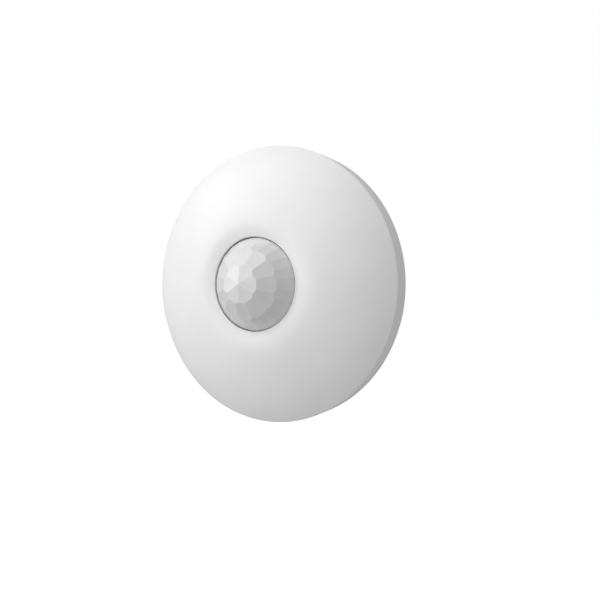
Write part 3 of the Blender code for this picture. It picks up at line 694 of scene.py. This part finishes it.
def cover_outline():
    """The cover's section: over the dome to the opening, back under the dome, and round the lip."""
    edge_back = PARTING_HEIGHT + PARTING_GAP / 2
    over = smooth_curve(COVER_CURVE, OUTER_CURVE_STEPS)[1:-1]
    under = smooth_curve(COVER_INNER_CURVE, INNER_CURVE_STEPS)[::-1]
    corners = [(*point, 0.0) for point in over]
    corners.append((OPENING_RADIUS, OPENING_HEIGHT, OPENING_CORNER))
    corners.append((*under[0], OPENING_BACK_CORNER))
    corners += [(*point, 0.0) for point in under[1:]]
    corners += [
        (LIP_INNER_RADIUS, LIP_BACK, LIP_INNER_CORNER),
        (LIP_OUTER_RADIUS, LIP_BACK, LIP_OUTER_CORNER),
        (LIP_OUTER_RADIUS, edge_back, 0.0),
        (RIM_RADIUS, edge_back, PARTING_CORNER),
    ]
    return rounded(corners)


def cover_stakes():
    """Pins that pass through the lens's flange and its ring to hold them."""
    back = back_of("lens_retainer") - STAKE_HEAD
    front = OPENING_HEIGHT - COVER_WALL + STAKE_ROOT
    shapes = []
    for angle in BAYONET_ANGLES:
        shapes.append(column(STAKE_RADIUS, back, front, on_circle(STAKE_CIRCLE, angle), SMALL_STEPS))
    return gathered(shapes)


def cover_tabs():
    """Tabs inside the lip that the base's hooks catch."""
    outer = LIP_INNER_RADIUS + OVERLAP
    shapes = []
    for angle in BAYONET_ANGLES:
        shapes.append(ring_block(TAB_INNER_RADIUS, outer, LIP_BACK, TAB_FRONT, angle, BAYONET_SPAN))
    return gathered(shapes)


def make_cover(material):
    shell = spun(cover_outline())
    cover = piece("cover_moulding", shell, material, "cover", ["front_cover"])
    join_or_cut(cover, cover_tabs(), "UNION")
    join_or_cut(cover, cover_stakes(), "UNION")
    shade(cover.data)


def base_outline():
    """The base's section: its floor, the ledge that the cover's lip sits in, the rim and the wall."""
    rim = PARTING_HEIGHT - PARTING_GAP / 2
    return rounded(
        [
            (0.0, 0.0, 0.0),
            (0.0, BASE_FLOOR, 0.0),
            (BASE_INNER_RADIUS, BASE_FLOOR, BASE_INNER_CORNER),
            (LEDGE_RADIUS, LIP_BACK - LEDGE_CLEARANCE, LEDGE_CORNER),
            (LEDGE_RADIUS, rim, RIM_INNER_CORNER),
            (RIM_RADIUS, rim, PARTING_CORNER),
            (BASE_BACK_RADIUS, 0.0, BASE_BACK_CORNER),
        ]
    )


def base_hooks():
    """Bayonet hooks: a stem on the floor, a lip that reaches out over the cover's tab, and beside them a
    stop for the tab."""
    into_floor = BASE_FLOOR - OVERLAP
    lip_inner = HOOK_STEM_OUTER_RADIUS - OVERLAP
    lip_back = TAB_FRONT + GAP
    lip_front = HOOK_FRONT - HOOK_LIP_STEP
    outer = HOOK_LIP_OUTER_RADIUS
    shapes = []
    for angle in BAYONET_ANGLES:
        stop_angle = angle - BAYONET_SPAN / 2 - STOP_OFFSET
        shapes += [
            ring_block(
                HOOK_INNER_RADIUS, HOOK_STEM_OUTER_RADIUS, into_floor, HOOK_FRONT, angle, BAYONET_SPAN
            ),
            ring_block(lip_inner, outer, lip_back, lip_front, angle, HOOK_LIP_SPAN),
            ring_block(STOP_INNER_RADIUS, outer, into_floor, TAB_FRONT, stop_angle, STOP_SPAN),
        ]
    return gathered(shapes)


def base_bosses():
    """Bosses that the board is screwed to."""
    shapes = []
    for angle in BOSS_ANGLES:
        centre = on_circle(BOSS_CIRCLE, angle)
        shapes.append(column(BOSS_RADIUS, BASE_FLOOR - OVERLAP, BOARD_BACK - GAP, centre))
    return gathered(shapes)


def base_holes():
    """Screw slots, boss bores and the tamper's guide hole."""
    through = BASE_FLOOR + PAST
    shapes = []
    for side in (1, -1):
        slot = slot_outline(side * SLOT_CIRCLE, 0, SLOT_WIDTH, SLOT_LENGTH)
        shapes.append(raised(slot, -PAST, through))
    for angle in BOSS_ANGLES:
        centre = on_circle(BOSS_CIRCLE, angle)
        shapes.append(column(BOSS_BORE, BASE_FLOOR, BOARD_BACK + PAST, centre, SMALL_STEPS))
    guide = centre_of("tamper_plunger")
    shapes.append(column(TAMPER_GUIDE_RADIUS, -PAST, through, guide, SMALL_STEPS))
    return gathered(shapes)


def ring_groove(radius, width, depth, centre=(0.0, 0.0), steps=96):
    """A cutter for a round groove in the back."""
    inner = radius - width / 2
    outer = radius + width / 2
    shape = spun([(inner, -PAST), (inner, depth), (outer, depth), (outer, -PAST)], steps)
    bmesh.ops.translate(shape, verts=shape.verts, vec=(*centre, 0.0))
    return shape


def back_marks():
    """Shallow moulded detail on the back: a relief ring, two cable knock-outs and ejector-pin marks."""
    shapes = [ring_groove(RELIEF_RADIUS, RELIEF_WIDTH, RELIEF_DEPTH, steps=ROUND_STEPS)]
    for side in (1, -1):
        centre = (0.0, side * KNOCKOUT_OFFSET)
        shapes.append(ring_groove(KNOCKOUT_RADIUS, KNOCKOUT_WIDTH, KNOCKOUT_DEPTH, centre))
    for angle in EJECTOR_ANGLES:
        centre = on_circle(EJECTOR_CIRCLE, angle)
        shapes.append(column(EJECTOR_RADIUS, -PAST, EJECTOR_DEPTH, centre, steps=40))
    return gathered(shapes)


def make_base(material):
    shell = spun(base_outline())
    base = piece("base_moulding", shell, material, "base", ["mounting_base"])
    join_or_cut(base, base_hooks(), "UNION")
    join_or_cut(base, base_bosses(), "UNION")
    join_or_cut(base, base_holes(), "DIFFERENCE")
    join_or_cut(base, back_marks(), "DIFFERENCE")
    shade(base.data)


# ---------------------------------------------------------------- lens


def lens_planes(inset):
    """The lens's flat facets as (normal, point) pairs, moved in by inset. Each ring starts at the radius
    and height where the one before it ends."""
    planes = []
    height = LENS_APEX
    radius = 0.0
    for (degrees, count), edge in zip(LENS_RINGS, (*LENS_RING_EDGES, LENS_SKIRT_RADIUS)):
        lean = math.radians(degrees)
        for i in range(count):
            turn = 360 * i / count
            normal = Vector((*on_circle(math.sin(lean), turn), math.cos(lean)))
            point = Vector((*on_circle(radius, turn), height))
            planes.append((normal, point - normal * inset))
        height -= math.tan(lean) * (edge - radius)
        radius = edge
    return planes


def faceted_dome(skirt_radius, back, inset, steps=ROUND_STEPS):
    """A round column cut to the lens's planes."""
    shape = column(skirt_radius, back, LENS_APEX + 2 * PAST, steps=steps)
    for normal, point in lens_planes(inset):
        everything = list(shape.verts) + list(shape.edges) + list(shape.faces)
        bmesh.ops.bisect_plane(
            shape, geom=everything, dist=CUT_TOLERANCE, plane_co=point, plane_no=normal,
            clear_outer=True,
        )
        rim = [edge for edge in shape.edges if edge.is_boundary]
        bmesh.ops.holes_fill(shape, edges=rim, sides=0)
    bmesh.ops.remove_doubles(shape, verts=shape.verts, dist=WELD_DISTANCE)
    return shape


def make_lens(material):
    dome = faceted_dome(LENS_SKIRT_RADIUS, FLANGE_BACK + FLANGE_THICKNESS / 2, 0.0)
    lens = piece("faceted_lens", dome, material, "cover", ["lens"])
    flange = column(FLANGE_RADIUS, FLANGE_BACK, FLANGE_BACK + FLANGE_THICKNESS, steps=ROUND_STEPS)
    join_or_cut(lens, flange, "UNION")
    behind = FLANGE_BACK - 2 * PAST
    hollow = faceted_dome(LENS_SKIRT_RADIUS - LENS_WALL, behind, LENS_WALL, INNER_STEPS)
    join_or_cut(lens, hollow, "DIFFERENCE")
    before = FLANGE_BACK + 3 * PAST
    holes = []
    for angle in BAYONET_ANGLES:
        centre = on_circle(STAKE_CIRCLE, angle)
        holes.append(column(STAKE_HOLE_RADIUS, behind, before, centre, SMALL_STEPS))
    join_or_cut(lens, gathered(holes), "DIFFERENCE")
    lens.data.transform(Matrix.Translation(LENS_SEAT))
    shade(lens.data, FACET_ANGLE)


# ---------------------------------------------------------------- tamper spring


def spring_path(radius, back, front, centre, steps_per_turn=32):
    """The middle of the wire of a compression spring whose end turns lie close together."""
    closed_rise = SPRING_CLOSED_TURNS * SPRING_CLOSED_PITCH
    open_rise = front - back - 2 * closed_rise
    open_turns = SPRING_TURNS - 2 * SPRING_CLOSED_TURNS
    count = round(SPRING_TURNS * steps_per_turn)
    points = []
    for i in range(count + 1):
        turns = SPRING_TURNS * i / count
        near_back = min(turns, SPRING_CLOSED_TURNS)
        near_front = max(0.0, turns - SPRING_TURNS + SPRING_CLOSED_TURNS)
        between = turns - near_back - near_front
        height = back + (near_back + near_front) * SPRING_CLOSED_PITCH + between * open_rise / open_turns
        x, y = on_circle(radius, 360 * turns)
        points.append(Vector((centre[0] + x, centre[1] + y, height)))
    return points


def make_tamper_spring(material):
    """The spring stands against the switch, in the place of its CAD node, and rides on the base."""
    low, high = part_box("tamper_spring")
    back = back_of("tamper_spring") + SPRING_WIRE_RADIUS
    front = front_of("tamper_spring") - SPRING_WIRE_RADIUS
    radius = (high.z - low.z) / 2 - SPRING_WIRE_RADIUS
    path = spring_path(radius, back, front, centre_of("tamper_spring"))
    coil = wire_along(path, SPRING_WIRE_RADIUS)
    spring = piece("tamper_coil", coil, material, "base", ["tamper_spring"], WIRE_ANGLE)
    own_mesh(spring)


# ---------------------------------------------------------------- inner pieces that keep their CAD shape


def dress(nodes, material, edge_mm=0.0):
    """Give CAD nodes a finish and, where it shows, a small moulded or stamped edge radius."""
    for name in nodes:
        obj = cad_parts[name]
        obj.data.materials.clear()
        obj.data.materials.append(material)
        if edge_mm:
            weld = obj.modifiers.new("weld", "WELD")
            weld.merge_threshold = WELD_DISTANCE
            round_edges(obj, edge_mm * MM)


def dress_inner_parts():
    dress(["lens_retainer"], inner_abs(), 0.15)
    dress(["main_board"], fr4_board())
    dress(["board_screw_1", "board_screw_2", "board_screw_3"], zinc_plate())
    dress(["sensor_collar"], collar_foam())
    dress(["sensor_can", "radio_shield", "crystal_can"], tinned_steel(), 0.05)
    dress(["sensor_window"], silicon_window())
    gilt = gilt_wire()
    dress(["sensor_lead_1", "sensor_lead_2", "sensor_lead_3", "antenna_coil"], gilt)
    dress(["battery_cell"], cell_sleeve())
    black = black_pbt()
    dress(["battery_holder"], black, 0.2)
    dress(["tamper_switch", "enrol_switch", "dip_switch"], black, 0.08)
    dress(["battery_spring", "battery_plate"], nickel_strip())
    cream = acetal()
    dress(["tamper_plunger"], cream, 0.12)
    dress(["enrol_button", "dip_slider_1", "dip_slider_2", "trimmer_rotor"], cream, 0.08)
    dress(["range_trimmer"], blue_nylon(), 0.08)
    dress(["controller_chip", "amplifier_chip"], chip_epoxy(), 0.05)
    dress(["capacitor_1", "capacitor_2"], can_aluminium(), 0.1)
    dress(["status_led"], led_epoxy())


# ---------------------------------------------------------------- studio

VIEW_TURN = 31.24
VIEW_DISTANCE = 0.6006
VIEW_SHIFT = (0.0234, -0.0266)
FOCAL_LENGTH = 89.4
SURROUND_GLOW = 0.425
FLOOR_DROP = 0.20
FLOOR_REACH = 6.0
FLOOR_GLOW = 0.85

# Soft round lights: turn from the lens axis to the right, lift, distance m, size m and watts
LIGHTS = {
    "front": (-20, 15, 1.4, 1.4, 4.4),
    "high": (-10, 60, 1.4, 1.4, 5.4),
    "left": (-65, 35, 1.4, 0.8, 4.2),
    "mid_left": (-45, 5, 1.4, 0.7, 2.6),
    "low_left": (-40, -30, 1.4, 1.4, 2.0),
}


def aim_at_sensor(name, data, turn, lift, distance):
    """Place a camera or a light: degrees to the right of the lens axis, degrees up, and metres away."""
    turn = math.radians(turn)
    lift = math.radians(lift)
    away = Vector(
        (math.sin(turn) * math.cos(lift), -math.cos(turn) * math.cos(lift), math.sin(lift))
    )
    obj = bpy.data.objects.new(name, data)
    obj.location = away * distance
    obj.rotation_euler = (-away).to_track_quat("-Z", "Y").to_euler()
    bpy.context.scene.collection.objects.link(obj)
    return obj


def add_camera():
    camera = bpy.data.cameras.new("camera")
    camera.sensor_width = 36.0
    camera.lens = FOCAL_LENGTH
    camera.shift_x, camera.shift_y = VIEW_SHIFT
    camera.clip_start = 0.01
    camera.clip_end = 50.0
    bpy.context.scene.camera = aim_at_sensor("camera", camera, VIEW_TURN, 0.0, VIEW_DISTANCE)


def add_light(name, turn, lift, distance, size, watts):
    light = bpy.data.lights.new(name, "AREA")
    light.shape = "DISK"
    light.size = size
    light.energy = watts
    aim_at_sensor(name, light, turn, lift, distance)


def add_world():
    """An even pale surround: white to the eye, softer as light on the object."""
    world = bpy.data.worlds.new("studio")
    world.use_nodes = True
    tree = world.node_tree
    tree.nodes.clear()
    seen = add(tree, "ShaderNodeBackground", Color=(1, 1, 1, 1), Strength=1.0)
    shed = add(tree, "ShaderNodeBackground", Color=(1, 1, 1, 1), Strength=SURROUND_GLOW)
    path = add(tree, "ShaderNodeLightPath")
    mix = add(tree, "ShaderNodeMixShader", {0: path.outputs["Is Camera Ray"]})
    tree.links.new(shed.outputs[0], mix.inputs[1])
    tree.links.new(seen.outputs[0], mix.inputs[2])
    out = add(tree, "ShaderNodeOutputWorld")
    tree.links.new(mix.outputs[0], out.inputs["Surface"])
    bpy.context.scene.world = world


def add_floor():
    """A wide pale floor well below the sensor, which hangs on its back as on a wall."""
    shape = bmesh.new()
    bmesh.ops.create_grid(shape, x_segments=1, y_segments=1, size=FLOOR_REACH)
    mesh = bpy.data.meshes.new("floor")
    shape.to_mesh(mesh)
    shape.free()
    floor = bpy.data.objects.new("floor", mesh)
    floor.location = (0, 0, -FLOOR_DROP)
    bpy.context.scene.collection.objects.link(floor)
    material, tree, shader = new_material("painted_floor", Roughness=0.9)
    drift = add(tree, "ShaderNodeTexNoise", {"Vector": place_in_mm(tree)}, Scale=1 / 400, Detail=2.0)
    tone = add(tree, "ShaderNodeValToRGB", {"Fac": drift.outputs["Fac"]})
    tone.color_ramp.elements[0].color = srgb("FAFAFA")
    tone.color_ramp.elements[1].color = srgb("FEFEFE")
    tree.links.new(tone.outputs["Color"], shader.inputs["Base Color"])
    shader.inputs["Emission Color"].default_value = (1, 1, 1, 1)
    shader.inputs["Emission Strength"].default_value = FLOOR_GLOW
    floor.data.materials.append(material)
    floor.visible_diffuse = False
    floor.visible_glossy = False


def set_studio():
    add_camera()
    for name, settings in LIGHTS.items():
        add_light(name, *settings)
    add_world()
    add_floor()
    bpy.context.scene.view_settings.view_transform = "Standard"


def main():
    set_studio()
    casing = moulded_abs()
    make_base(casing)
    make_cover(casing)
    make_lens(moulded_hdpe())
    make_tamper_spring(spring_wire())
    dress_inner_parts()


main()
